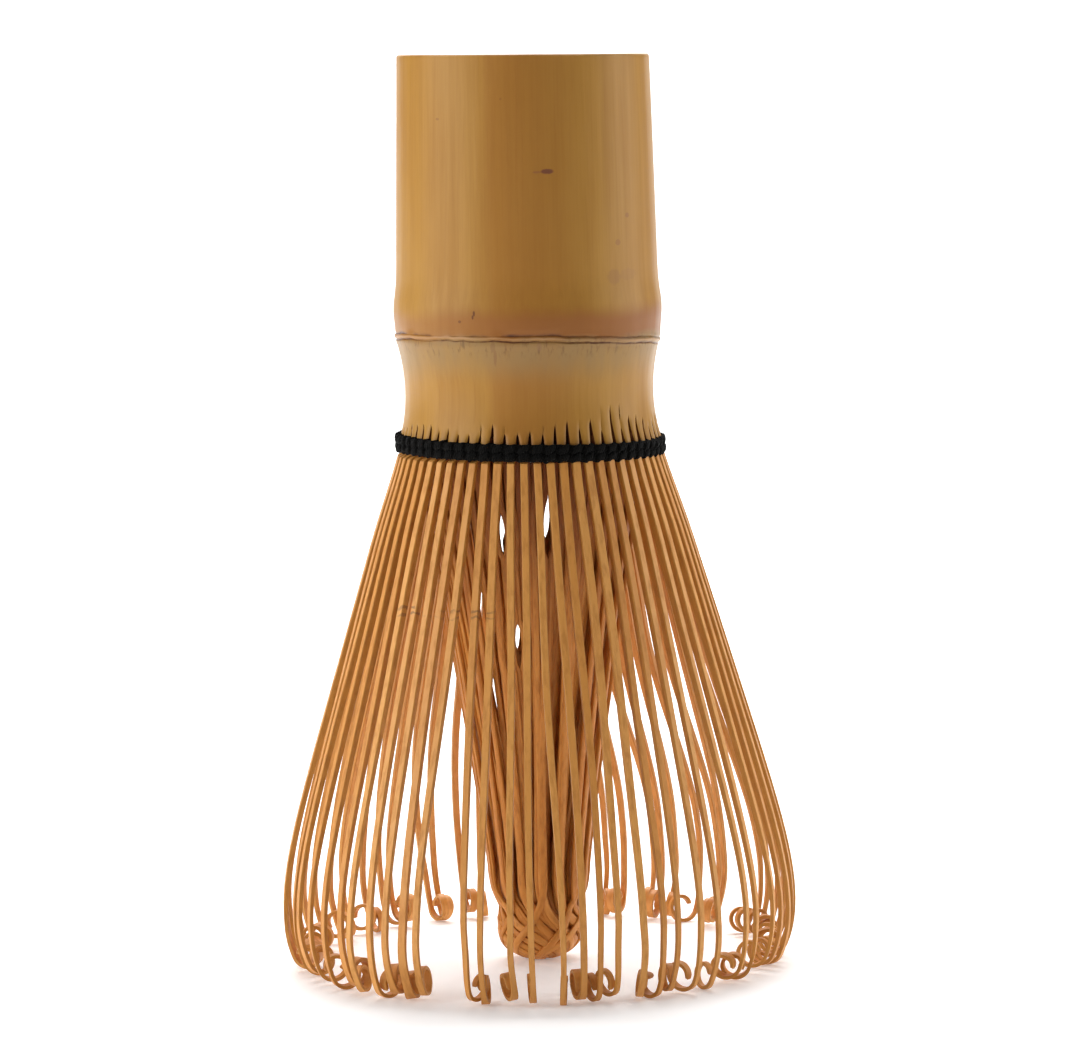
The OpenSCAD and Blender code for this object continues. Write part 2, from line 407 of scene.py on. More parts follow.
def bamboo_inside():
    """The culm's inner wall and septum: pale, papery and faintly ribbed."""
    look = Look("bamboo_inside", 0.7, 0.3)
    ribs = look.grain(1500.0, 0.05)
    clouds = look.noise(look.place, 180.0, 4.0)
    colour = look.mix(look.between(ribs, 0.3, 0.7), rgb(220, 190, 138), rgb(196, 158, 104))
    colour = look.mix(look.between(clouds, 0.5, 0.8, 0.0, 0.6), colour, rgb(170, 126, 78))
    return look.finish(colour, None, ribs, 0.06 * MM)


def slit_wood_painted_shade():
    """Freshly split wood inside the slits: brown, darkened further with painted shade."""
    look = Look("slit_wood_painted_shade", 0.8, 0.2)
    fibres = look.grain(3000.0, 0.05)
    # painted shade darkens this wood's brown, and its fibres darker still
    colour = look.mix(fibres, rgb(128, 74, 34), rgb(84, 44, 20))
    return look.finish(colour, None, fibres, 0.03 * MM)


def split_bamboo(name, light, mid, dark, stained=False, shaded=False):
    """A tine's wood: its own tone and fibres along its length. Stained adds the broken line
    across the left of the whisk; shaded adds a deep brown near the roots: the wood's own brown and
    painted shade."""
    look = Look(name, 0.5, 0.4)
    tint, along, across = look.attribute("tint"), look.attribute("along"), look.attribute("across")
    drawn = {0: across, 1: look.times(along, 0.045), 2: look.times(tint, 37.0)}
    fibres = look.noise(look.node("ShaderNodeCombineXYZ", drawn).outputs[0], 9.0, 4.0, 0.6)
    drawn = {0: look.times(along, 0.06), 1: look.times(tint, 91.0)}
    tone = look.noise(look.node("ShaderNodeCombineXYZ", drawn).outputs[0], 1.0)
    colour = look.mix(look.between(tint, 0.0, 1.0), mid, light)
    colour = look.mix(look.between(tone, 0.35, 0.75, 0.0, 0.55), colour, mid)
    colour = look.mix(look.between(fibres, 0.42, 0.75, 0.0, 0.6), colour, dark)
    if stained:
        height = look.plus(look.z, look.around_zero(look.noise(look.place, 500.0), 1.8 * MM))
        upper = look.band(height, 42.2, 42.3, 42.5, 42.6)
        lower = look.band(height, 41.4, 41.5, 41.7, 41.8)
        lines = look.math("MAXIMUM", upper, lower)
        left = look.band(look.x, -16.5, -13.5, -5.5, -3.5)
        front = look.between(look.y, -6 * MM, -10 * MM)
        broken = look.between(look.noise(look.place, 330.0, 2.0), 0.42, 0.62, 0.0, 0.62)
        colour = look.mix(look.times(lines, left, front, broken), colour, rgb(112, 76, 50))
    if shaded:
        # painted shade with the wood's own brown, deepest at the roots inside the whisk
        colour = look.mix(look.between(along, 26.0, 4.0, 0.0, 0.75), colour, rgb(124, 62, 12))
    roughness = look.between(fibres, 0.3, 0.7, 0.46, 0.62)
    return look.finish(colour, roughness, fibres, 0.03 * MM)


def thread_look():
    """Black cotton thread: a fine twist with a matt, slightly furry surface, painted glints on its
    fluff and painted shade between its plies.
    """
    look = Look("black_thread", 0.85, 0.08)
    look.shader.inputs["Sheen Weight"].default_value = 0.02
    look.shader.inputs["Sheen Roughness"].default_value = 0.5
    along, across = look.attribute("along"), look.attribute("across")
    twist = look.plus(look.times(along, 3.2), look.times(across, 4.0))
    ply = look.math("SINE", look.times(twist, math.tau))
    fluff_and_glint = look.noise(look.place, 9000.0, 4.0)
    # painted highlight: lighter specks where the fluff is, partly the fluff's own grey
    colour = look.mix(look.between(fluff_and_glint, 0.55, 0.8), rgb(9, 8, 6), rgb(38, 35, 29))
    # painted shade in the grooves between the plies
    colour = look.mix(look.between(ply, -1.0, 0.2, 0.7, 0.0), colour, rgb(7, 6, 6))
    height = look.plus(look.times(ply, 0.5), fluff_and_glint)
    return look.finish(colour, None, height, 0.08 * MM)


def floor_look():
    """A plain pale matt surface with the faintest mottle and glow, as on a light table."""
    look = Look("floor", 0.9, 0.2)
    look.shader.inputs["Emission Color"].default_value = (1.0, 1.0, 1.0, 1.0)
    look.shader.inputs["Emission Strength"].default_value = 0.2
    mottle = look.between(look.noise(look.place, 30.0, 2.0), 0.3, 0.7, 0.0, 0.02)
    return look.finish(look.mix(mottle, (0.92, 0.92, 0.92, 1.0), (0.85, 0.85, 0.85, 1.0)))


SKIN = bamboo_skin()
END = bamboo_end()
INSIDE = bamboo_inside()
SHADED_SLIT_WOOD = slit_wood_painted_shade()
OUTER = split_bamboo("tine_wood", rgb(219, 157, 82), rgb(205, 139, 65), rgb(171, 107, 42), stained=True)
SPLIT = split_bamboo("tine_side", rgb(201, 142, 64), rgb(187, 127, 51), rgb(153, 97, 35), stained=True)
INNER = split_bamboo("core_wood", rgb(216, 148, 66), rgb(196, 124, 44), rgb(150, 84, 22), shaded=True)
THREAD = thread_look()

# ---- Culm --------------------------------------------------------------------------

ROUND = TINES * 6
BEVEL = 0.3
CUT_TILT, CUT_FADE = 0.36, 6
FACE_RADII = (13.2, 12.4, 11.6, HOLLOW_R + 0.25)
# the scar drops by these towards the right and the back; a lip runs between two grooves
SCAR_DROP_X, SCAR_DROP_Y = 0.5, 0.7
LIP_H, LIP_W = 0.13, 0.28
GROOVE_LINES, GROOVE_DEPTH, GROOVE_W = (0.33, -0.33), 0.13, 0.1
OUT_OF_ROUND = 0.035
SEPTUM_RADII = (HOLLOW_R - 0.3, 9, 7.6, 6, 4.4, 3, 1.8, 0.9, 0.3)
SEPTUM_TOP, SEPTUM_LOW = NODE_HIGH - 0.15, NODE_HIGH - 1.15
PUCKER_H, PUCKER_R = 0.25, 1.6


def grip_radius(z):
    """The grip widens a little towards the joint, with a low bulge just over it."""
    taper = (SWELL - BULGE_H) * (TOTAL_H - z) / (TOTAL_H - NODE_HIGH)
    return GRIP_R + taper + BULGE_H * math.exp(-((z - SCAR_Z - BULGE_RISE) / BULGE_W) ** 2)


def collar_radius(z):
    """The collar narrows from the scar to its waist and flares again below."""
    if z > WAIST_Z:
        return WAIST_R + (SCAR_R - WAIST_R) * ((z - WAIST_Z) / (SCAR_Z - WAIST_Z)) ** 2
    return WAIST_R + WAIST_FLARE * (WAIST_Z - z) ** 2


def scar_height(angle):
    """The scar isn't square to the culm: it is lower at the back and on the right."""
    a = math.radians(angle)
    wander = 0.22 * rough_round(angle, 3, 1.0) + 0.11 * rough_round(angle, 12, 5.0)
    return SCAR_Z - 0.05 - SCAR_DROP_X * math.cos(a) - SCAR_DROP_Y * math.sin(a) + wander


def culm_radius(angle, z):
    """The culm's outer radius, with the scar's lip between two fine grooves and the skin's
    unevenness."""
    above = smooth((z - SCAR_Z + 0.7) / 1.4)
    r = blend(collar_radius(min(z, SCAR_Z)), grip_radius(max(z, SCAR_Z)), above)
    d = z - scar_height(angle)
    r += LIP_H * math.exp(-(d / LIP_W) ** 2)
    r -= sum(GROOVE_DEPTH * math.exp(-((d - line) / GROOVE_W) ** 2) for line in GROOVE_LINES)
    r += OUT_OF_ROUND * math.cos(2 * math.radians(angle) + 0.6)
    return r + 0.05 * rough_round(angle, 2.5, z * 0.03) + 0.012 * rough_round(angle, 16, z * 0.02)


def scar_tint(angle, z):
    """Over 0 in the scar's two grooves and under 0 on the pale lip between them. Each
    groove fades in and out round the culm."""
    d = z - scar_height(angle)
    dark = 0.0
    for line, seed, lean in zip(GROOVE_LINES, (2.0, 8.0), (-0.35, 0.1)):
        shown = 0.8 + lean * math.cos(math.radians(angle)) + 0.5 * rough_round(angle, 3.2, seed)
        dark += shown * math.exp(-((d - line) / 0.13) ** 2)
    lip = 0.62 + 0.5 * rough_round(angle, 4, 15.0)
    return dark - lip * math.exp(-(d / 0.2) ** 2)


def sawn(angle, z):
    """Heights near the cut end drop towards the right: the saw ran a little askew."""
    drop = CUT_TILT * (1 + math.cos(math.radians(angle))) / 2
    return z - drop * smooth((z - TOTAL_H + CUT_FADE) / CUT_FADE)


def culm_rows(skin, levels):
    """Rows of points round the outside of the culm at those heights."""
    rows = []
    for z in levels:
        rows.append([])
        for k in range(ROUND):
            a = k * 360 / ROUND
            place = polar(culm_radius(a, z), a, sawn(a, z))
            rows[-1].append(skin.point(place, scar_tint(a, z)))
    return rows


def heights(low, high, step):
    """Even heights from low to high, about that step apart."""
    count = max(1, round((high - low) / step))
    return [blend(low, high, k / count) for k in range(count + 1)]


def round_row(skin, radius, z, ragged=0.0, seed=0.0):
    """A row of points round the axis, a little out of round."""
    row = []
    for k in range(ROUND):
        a = k * 360 / ROUND
        wander = ragged * rough_round(a, 4, seed)
        row.append(skin.point(polar(radius + wander, a, sawn(a, z))))
    return row


def make_grip():
    """The grip: the skin outside, a sawn end and the hollow inside."""
    skin = Skin()
    outside = culm_rows(skin, heights(NODE_HIGH, TOTAL_H - BEVEL, 0.45))
    edge = culm_radius(0, TOTAL_H)
    rim = [round_row(skin, edge - BEVEL * (1 - math.cos(q)), TOTAL_H - BEVEL * (1 - math.sin(q)))
           for q in (0.5, 1.0, 1.45)]
    skin.grid(outside + rim)
    face = [rim[-1]] + [round_row(skin, r, TOTAL_H - 0.01, 0.02, r) for r in FACE_RADII]
    skin.grid(face, 1)
    levels = reversed(heights(NODE_HIGH, TOTAL_H - BEVEL, 1.5))
    bore = [face[-1]] + [round_row(skin, HOLLOW_R, z, 0.12, z * 0.05) for z in levels]
    skin.grid(bore, 2)
    skin.grid([bore[-1], outside[0]], 2)
    return skin.build("grip", "whisk", "upper_internode", [SKIN, END, INSIDE])


def septum_rows(skin, z, dish):
    """One face of the septum: dished, and puckered in the middle."""
    rows = []
    inner = SEPTUM_RADII[0]
    for r in SEPTUM_RADII:
        drop = dish * (1 - (r / inner) ** 2) + PUCKER_H * math.exp(-(r / PUCKER_R) ** 2)
        rows.append(round_row(skin, r, z - drop, 0.06 * r / inner, r))
    return rows


def make_joint():
    """The joint: the scarred ring, and the septum across the hollow."""
    skin = Skin()
    outside = culm_rows(skin, heights(NODE_LOW, NODE_HIGH, 0.055))
    skin.grid(outside)
    top = septum_rows(skin, SEPTUM_TOP, 0.55)
    skin.grid([outside[-1]] + top, 2)
    skin.face(top[-1], 2)
    low = septum_rows(skin, SEPTUM_LOW, 0.5)
    skin.grid([outside[0], round_row(skin, HOLLOW_R, NODE_LOW)] + low, 2)
    skin.face(low[-1], 2)
    return skin.build("joint_ring", "whisk", "node_septum", [SKIN, END, INSIDE])


# the collar's foot, and the height up to which its rows lie close
COLLAR_LOW, COLLAR_FINE = 59.2, 63.6
COLUMNS = 6
RING_R, RING_FLARE, RING_INSIDE_R = 14.82, 0.03, 13.75
SLIT_TOP, SLIT_SPREAD = 61.3, 1.5
SLIT_HALF_WIDTHS, SLIT_LEAN = (0.2, 0.3), 0.12
# one slit runs on as a crack: its number, and its top, half width and lean
LONG_SLIT, LONG_SLIT_SHAPE = 55, (64.2, 0.2, 0.1)
# how far the roots' edges are worn back
WORN = 0.13


def slit_shapes():
    """Each slit's top, and its half width and sideways lean at its foot."""
    slits = []
    for _ in range(TINES):
        tall = random.random()
        half, lean = random.uniform(*SLIT_HALF_WIDTHS), random.uniform(-SLIT_LEAN, SLIT_LEAN)
        slits.append((SLIT_TOP + SLIT_SPREAD * tall ** 2, half, lean))
    slits[LONG_SLIT] = LONG_SLIT_SHAPE
    return slits


def slit_at(shape, z):
    """Half width and sideways lean of a slit at height z, in degrees."""
    apex, half, lean = shape
    depth = (apex - z) / (apex - COLLAR_LOW)
    if depth <= 0:
        return 0.0, 0.0
    half *= (0.25 + depth) * min(1.0, depth * 6)
    return math.degrees(half / WAIST_R), math.degrees(lean * depth / WAIST_R)


def make_collar():
    """The collar, split from below into tine roots: each slit opens from a point above
    the thread, leans a little and has its own height."""
    skin = Skin()
    slits = slit_shapes()
    levels = heights(COLLAR_LOW, COLLAR_FINE, 0.2) + heights(COLLAR_FINE, NODE_LOW, 0.3)[1:]
    outside, inside = [], []
    for z in levels:
        out_row, in_row = [], []
        in_r = RING_INSIDE_R if z < INNER_TOP else HOLLOW_R
        for i in range(TINES):
            w0, l0 = slit_at(slits[i], z)
            w1, l1 = slit_at(slits[(i + 1) % TINES], z)
            start, end = i * PITCH + w0 + l0, (i + 1) * PITCH - w1 + l1
            for k in range(COLUMNS + 1):
                angle = blend(start, end, k / COLUMNS)
                side = abs(2 * k / COLUMNS - 1)
                worn = WORN * side ** 4 * min(1.0, (w0 + w1) * 2)
                r = min(culm_radius(angle, z), RING_R + RING_FLARE * (z - 59)) - worn
                out_row.append(skin.point(polar(r, angle, z), scar_tint(angle, z)))
                in_row.append(skin.point(polar(in_r, (i + k / COLUMNS) * PITCH, z)))
        outside.append(out_row)
        inside.append(in_row)
    per = COLUMNS + 1
    for row in range(len(levels) - 1):
        ring = (outside[row], outside[row + 1]), (inside[row], inside[row + 1])
        for i in range(TINES):
            for (low, high), look in zip(ring, (0, 2)):
                for k in range(COLUMNS):
                    a = i * per + k
                    skin.face((low[a], low[a + 1], high[a + 1], high[a]), look)
            # the slit walls take the split wood darkened with painted shade
            if slit_at(slits[(i + 1) % TINES], levels[row])[0] > 0:
                for s in (i * per + COLUMNS, (i + 1) % TINES * per):
                    wall = outside[row][s], inside[row][s], inside[row + 1][s], outside[row + 1][s]
                    skin.face(wall, 1)
    for i in range(TINES):
        for k in range(COLUMNS):
            a = i * per + k
            for row, look in ((0, 1), (-1, 2)):
                out_row, in_row = outside[row], inside[row]
                skin.face((out_row[a], out_row[a + 1], in_row[a + 1], in_row[a]), look)
    looks = [SKIN, SHADED_SLIT_WOOD, INSIDE]
    return skin.build("collar", "whisk", "lower_internode", looks, merge=0.004)


# ---- Outer tines -------------------------------------------------------------------

BODY_RINGS, CURL_RINGS = 44, 34
# a curl tightens: its radius where it starts and where it ends, as shares of CURL_R
CURL_OPEN, CURL_TIGHT = 1.16, 0.66
# the two wide faces are lighter than the split sides and the bevels
TINE_SIDES = (1, 0, 1, 1, 1, 0, 1, 1)
# back tines that stand straight behind a front one, where the inner tines part
STRAIGHT = range(14, 18)
# tines on the left, which are broader towards their tips
BROAD, BROADER = range(26, 44), 1.3
# the tines at the edges of a group stay this narrow, clear of the next group
EDGE_TIP_W = 0.78
# the root under the thread: its distance out, its heights and its thickness
STUB_R, STUB_HEIGHTS, STUB_T = 14.1, (58.95, 58.55), 0.34
# over its first rings a tine grows from this share of its thickness and comes out this far
ROOT_EASE, ROOT_SHARE, ROOT_SET_IN = 5, 0.7, 0.12
# the most that a tip hangs over the ground
TIP_LIFT = 0.7
# each tine's own share of the curl's turn and size, widths, sway, spin and slip
EXTRA_TURN, CURL_SIZES, OWN_SPLAY = (45, 115), (0.92, 1.1), 0.3
ROOT_WIDTHS, TIP_WIDTHS = (0.9, 1.04), (0.84, 1.2)
CURL_WIDTHS, EDGE_CURL_WIDTHS = (1.5, 1.95), (1.15, 1.35)
SWAYS, SPINS, SLIPS = (0.05, 0.28), (2, 26), (0.1, 0.4)


def body_t(k):
    """Share of the length at body ring k: rings crowd towards the bend."""
    return 1 - (1 - k / BODY_RINGS) ** 1.6


def heading(t):
    """A tine's heading outward from straight down, in degrees."""
    return SPLAY - (SPLAY - CURL_START) * t ** BEND_POWER


def tine_line(turn, splay_by, curl_r):
    """Places down a tine's middle as (distance out, height, heading, share of length,
    length past the curl's start)."""
    line, r, z = [], ROOT_R, FLEX_Z
    for k in range(BODY_RINGS + 1):
        t = body_t(k)
        line.append((r, z, heading(t) + splay_by, t, (t - 1) * TINE_LEN))
        t_next = body_t(min(k + 1, BODY_RINGS))
        a = math.radians(heading((t + t_next) / 2) + splay_by)
        step = TINE_LEN * (t_next - t)
        r, z = r + step * math.sin(a), z - step * math.cos(a)
    angle = CURL_START + splay_by
    for k in range(CURL_RINGS):
        tight = blend(CURL_OPEN, CURL_TIGHT, k / CURL_RINGS)
        step = math.radians(turn / CURL_RINGS) * curl_r * tight
        a = math.radians(angle - turn / CURL_RINGS / 2)
        r, z = r + step * math.sin(a), z - step * math.cos(a)
        angle -= turn / CURL_RINGS
        line.append((r, z, angle, 1.0, (k + 1) * step))
    return line


def round_drift(i, s):
    """How far round the whisk tine i has drifted at that share of its length, in degrees.
    For the upper half of its length a back tine keeps between the front tines before it."""
    spread = s ** DRIFT_POWER
    own = TIP_DRIFT[i] * spread
    if i >= TINES / 2 or i in STRAIGHT:
        return own
    front = TINES - 1 - i
    shown = PITCH / 2 * smooth(s / 0.18) - (TIP_DRIFT[front] + TIP_DRIFT[front - 1]) / 2 * spread
    fade = 0.38 if i < TINES / 4 else 0.58
    keep = math.sin(math.pi * (i + 0.5) / (TINES / 2)) ** 0.3 * (1 - smooth((s - fade) / 0.42))
    return blend(own, shown, keep)


def outer_tine(skin, i):
    """One flared tine: a strip that widens its turn, twists a little and curls at its tip."""
    place = i % PER_SPLIT
    edge = place in (0, PER_SPLIT - 1)
    turn = CURL_TURNS[i % len(CURL_TURNS)] + random.uniform(*EXTRA_TURN)
    splay_by = random.uniform(-OWN_SPLAY, OWN_SPLAY)
    line = tine_line(turn, splay_by, CURL_R * random.uniform(*CURL_SIZES))
    azimuth = (i + 0.5) * PITCH
    sway, phase = random.uniform(*SWAYS), random.uniform(0, math.tau)
    inward = {0: 1, PER_SPLIT - 1: -1}.get(place) or random.choice((-1, 1))
    spin = inward * random.uniform(*SPINS)
    slip = inward * random.uniform(*SLIPS)
    root_w, tip_w = ROOT_W * random.uniform(*ROOT_WIDTHS), TIP_W * random.uniform(*TIP_WIDTHS)
    if i in BROAD:
        tip_w *= BROADER
    if edge:
        tip_w = min(tip_w, EDGE_TIP_W)
    curl_w = random.uniform(*(EDGE_CURL_WIDTHS if edge else CURL_WIDTHS))
    frames = []
    for r, z, angle, s, past in line:
        wander = sway * math.sin(math.pi * 1.6 * s + phase) * s * (1 - s) * 4
        at = azimuth + round_drift(i, s) + math.degrees(wander / r)
        a = math.radians(angle)
        out = polar(math.cos(a), at, math.sin(a))
        side = polar(1, at + 90, 0)
        frames.append([polar(r, at, z), out, side, s, past])
    # the tip's curl turns about the tine and slips aside, clear of its own start
    start = frames[BODY_RINGS][0].copy()
    axis = (frames[BODY_RINGS][0] - frames[BODY_RINGS - 1][0]).normalized()
    for f in frames:
        turned = Matrix.Rotation(math.radians(spin * smooth((f[4] + 8) / 8)), 3, axis)
        f[0] = start + turned @ (f[0] - start)
        f[1], f[2] = turned @ f[1], turned @ f[2]
        f[0] = f[0] + f[2] * slip * smooth(f[4] / 5)
    # stretched so that the lowest tines touch the ground and the others hang just over it
    lowest = min(f[0].z - TIP_T / 2 * abs(f[1].z) for f in frames)
    lift = TIP_LIFT * (i * 5 % 8) / 7
    stretch = (FLEX_Z - lift) / (FLEX_Z - lowest)
    out, side = polar(1, azimuth, 0), polar(1, azimuth + 90, 0)
    rings = [section(polar(STUB_R, azimuth, z), out, side, root_w * 0.9, STUB_T) for z in STUB_HEIGHTS]
    last = len(frames) - 1
    for k, (middle, out, side, s, past) in enumerate(frames):
        middle.z = FLEX_Z - (FLEX_Z - middle.z) * stretch
        ease = smooth(k / ROOT_EASE)
        thick = blend(ROOT_T, TIP_T, s ** THICKNESS_TAPER) * blend(ROOT_SHARE, 1, ease)
        width = blend(root_w, tip_w, s ** WIDTH_TAPER) * blend(1, curl_w, smooth((past + 1) / 4))
        middle = middle - out * (1 - ease) * ROOT_SET_IN
        point = 1 - 0.3 * smooth((k - last + 2) / 2)
        rings.append(section(middle, out, side, width * point, thick))
    skin.sweep(rings, random.random(), side_looks=TINE_SIDES)


def make_outer_tines():
    for g in range(SPLITS):
        skin = Skin()
        for i in range(PER_SPLIT * g, PER_SPLIT * (g + 1)):
            outer_tine(skin, i)
        tag = f"{g + 1:02d}"
        body, node = "tines_" + tag, "outer_tines_" + tag
        skin.build("flared_" + tag, body, node, [OUTER, SPLIT], sharp=32)


# ---- Inner tines -------------------------------------------------------------------

NECK_Z, PINCH_Z = 11.0, 6.2
KNOB_Z, KNOB_R, KNOB_H = 3.6, 4.7, 3.45
# how much nearer the axis each layer winds round the knob
KNOB_STEP = 0.36
LEAN_RINGS, NECK_RINGS, KNOB_RINGS = 48, 8, 14
# the strands' winding round the knob, in degrees, and how far each tucks under it
WINDING, COUNTER_WINDING = 120, -95
TUCK, TUCK_STEP = 80, 9
# half the angle between a tine's two strands, and their widths and thicknesses
HALF_SPREAD = 1.15
STRAND_ROOT_W, STRAND_TIP_W = 0.56, 0.72
STRAND_ROOT_T, STRAND_TIP_T = 0.46, 0.34
# where the inner tines part, so that light shows through: x, height, half height
OPENINGS = ((-3.3, 49.8, 2.5), (1.7, 50.3, 3.2), (-1.85, 37.2, 2.8))
OPEN_HALF_W, OPEN_REACH = 0.52, 2.2
# each strand's own place in its layer, winding, tuck, knob radius, sway and widths
OWN_R, OWN_AZIMUTH, OWN_WINDING = (-0.3, 0.2), 0.4, 38
OWN_TUCK, OWN_KNOB_R, CROSSING_OUT = (-8, 2), (-0.15, 0.1), 0.5
STRAND_SWAYS, STRAND_ROOTS, STRAND_TIPS = (0.1, 0.55), (0.9, 1.1), (0.8, 1.2)


def gathered(t):
    """How far in an inner tine has come: a straight lean that eases into the neck."""
    lean = INNER_LEAN * t
    return (1 + lean - math.sqrt((1 - lean) ** 2 + NECK_SOFTNESS)) / 2


def share_down(z):
    """Share of an inner tine's length at that height."""
    return (INNER_TOP - z) / (INNER_TOP - 1)


def parted(r, at, z, azimuth, tip_r):
    """An inner tine's place round the whisk, in degrees, once it has moved aside from any
    opening nearby. It keeps to the side that it is on at the opening's own height."""
    for x, height, half_h in OPENINGS:
        lens = 1 - ((z - height) / half_h) ** 2
        away = r * math.cos(math.radians(at)) - x
        if lens > 0 and abs(away) < OPEN_REACH:
            home_r = blend(INNER_ROOT_R, tip_r, gathered(share_down(height)))
            side = math.copysign(1, home_r * math.cos(math.radians(azimuth)) - x)
            push = OPEN_HALF_W * math.sqrt(lens)
            clear = side * (push + max(side * away, 0) * (1 - push / OPEN_REACH))
            at -= math.degrees((clear - away) / (r * math.sin(math.radians(at))))
    return at


def inner_strand(skin, i, half):
    """Half of an inner tine, which is split in two: it leans in to its layer of the core,
    then winds round the knob and tucks in under it. A few wind the other way."""
    layer = i % PER_SPLIT
    crossing = i % 8 == 1 and half > 0
    tip_r = CORE_R - (0 if crossing else layer) * LAYER_STEP + random.uniform(*OWN_R)
    azimuth = i * PITCH + half * HALF_SPREAD + random.uniform(-OWN_AZIMUTH, OWN_AZIMUTH)
    winding = COUNTER_WINDING if crossing else WINDING
    winding += random.uniform(-OWN_WINDING, OWN_WINDING)
    under = TUCK - TUCK_STEP * layer + random.uniform(*OWN_TUCK)
    knob_r = KNOB_R - KNOB_STEP * layer + random.uniform(*OWN_KNOB_R)
    knob_r += CROSSING_OUT if crossing else 0
    knob_h = KNOB_H + min(knob_r - KNOB_R, 0)
    sway, phase = random.uniform(*STRAND_SWAYS), random.uniform(0, math.tau)
    root_w = STRAND_ROOT_W * random.uniform(*STRAND_ROOTS)
    tip_w = STRAND_TIP_W * random.uniform(*STRAND_TIPS)
    places = []
    for z in [INNER_TOP, 60.2] + [blend(59, NECK_Z, k / LEAN_RINGS) for k in range(LEAN_RINGS + 1)]:
        t = share_down(z)
        r = blend(INNER_ROOT_R, tip_r, gathered(t))
        at = azimuth + math.degrees(sway * math.sin(math.pi * 1.5 * t + phase) * min(t, 0.6) / r)
        at = parted(r, at, z, azimuth, tip_r)
        places.append((polar(r, at, z), polar(1, at, 0), t))
    base_r, base_at = r, at
    for k in range(1, NECK_RINGS + 1):
        u = k / NECK_RINGS
        z = blend(NECK_Z, KNOB_Z, u)
        pinched = 1 - 0.1 * math.exp(-((z - PINCH_Z) / 1.1) ** 2)
        at = base_at + winding * 0.4 * u ** 3
        r = blend(base_r, knob_r, smooth(u)) * pinched
        places.append((polar(r, at, z), polar(1, at, 0), 1.0))
    turned = at
    for k in range(1, KNOB_RINGS + 1):
        u = k / KNOB_RINGS
        a = math.radians(under * u)
        at = turned + winding * 0.6 * u
        place = polar(knob_r * math.cos(a), at, KNOB_Z - knob_h * math.sin(a))
        places.append((place, polar(math.cos(a), at, -math.sin(a)), 1.0))
    rings = []
    last = len(places) - 1
    for k, (middle, out, t) in enumerate(places):
        ahead, behind = places[min(k + 1, last)][0], places[max(k - 1, 0)][0]
        tangent = (ahead - behind).normalized()
        side = out.cross(tangent).normalized() * -1
        out = tangent.cross(side).normalized() * -1
        width = blend(root_w, tip_w, t) * (1 - 0.4 * smooth((k - last + 3) / 3))
        rings.append(section(middle, out, side, width, blend(STRAND_ROOT_T, STRAND_TIP_T, t)))
    skin.sweep(rings, random.random())


def make_inner_tines():
    for g in range(SPLITS):
        skin = Skin()
        for i in range(PER_SPLIT * g, PER_SPLIT * (g + 1)):
            for half in (-1, 1):
                inner_strand(skin, i, half)
        tag = f"{g + 1:02d}"
        node = "inner_tines_" + tag
        skin.build("core_" + tag, "whisk", node, [INNER], sharp=50)


# ---- Thread ------------------------------------------------------------------------

# rings of a strand for each root, and how squarely it steps from outside to inside
STEPS = 12
OVER_SHARP = 2.6
STRAND_TALL, STRAND_DEEP, STRAND_SIDES = 0.46, 0.27, 10
BACKING_R, BACKING_TALL, BACKING_DEEP = 14.78, 0.47, 0.28
TUBE_SIDES = 8
KNOT_OUT, KNOT_SIZE, KNOT_THREAD_R = 0.75, 0.235, 0.23
TAIL_THREAD_R = 0.22


def tilted(z, angle):
    """Heights in the binding, which rises towards the left."""
    return z - BINDING_TILT * math.cos(math.radians(angle))


def strand(skin, z, phase):
    """One strand of a twined row: flat over every second root, drawn small in the slits."""
    rings = []
    for k in range(TINES * STEPS):
        angle = PITCH / 2 + k * PITCH / STEPS
        wave = math.pi * k / STEPS + math.radians(phase)
        over = math.tanh(OVER_SHARP * math.cos(wave)) / math.tanh(OVER_SHARP)
        r = WEAVE_R + WEAVE_DEPTH * over + 0.08 * rough(k * 0.21, phase, z)
        rise = tilted(z, angle) + 0.2 * math.sin(wave) + 0.12 * rough(k * 0.17, z, phase + 3)
        full = 0.5 + 0.5 * abs(over)
        tall = STRAND_TALL * blend(0.8, 1.0, full ** 3) * (1 + 0.25 * rough(k * 0.35, z, 9 + phase))
        deep = STRAND_DEEP * blend(0.85, 1.0, full)
        turns = [math.tau * side / STRAND_SIDES for side in range(STRAND_SIDES)]
        rings.append([polar(r + deep * math.cos(q), angle, rise - tall * math.sin(q)) for q in turns])
    skin.sweep(rings, phase, closed=True)


def tube(skin, path, radius, tint):
    """A round thread along a path of places."""
    rings, side = [], Vector((0, 0, 1))
    turns = [math.tau * s / TUBE_SIDES for s in range(TUBE_SIDES)]
    for k, place in enumerate(path):
        tangent = (path[min(k + 1, len(path) - 1)] - path[max(k - 1, 0)]).normalized()
        side = (side - tangent * side.dot(tangent)).normalized()
        other = tangent.cross(side)
        rings.append([place + (side * math.cos(q) + other * math.sin(q)) * radius for q in turns])
    skin.sweep(rings, tint)


def backing(skin, z):
    """The thread seen in the dips between the strands, packed and a little uneven."""
    rings = []
    corners = ((-1, -1), (-1, 1), (0.6, 1), (1, 0.6), (1, -0.6), (0.6, -1))
    for k in range(ROUND):
        angle = k * 360 / ROUND
        middle = polar(BACKING_R, angle, tilted(z, angle))
        out = polar(1, angle, 0)
        deep = BACKING_DEEP + 0.07 * rough(k * 0.3, z, 4.0)
        tall = BACKING_TALL + 0.1 * rough(k * 0.4, z, 11.0)
        rings.append([middle + out * deep * x + Vector((0, 0, tall * y)) for x, y in corners])
    skin.sweep(rings, 0.0, closed=True)


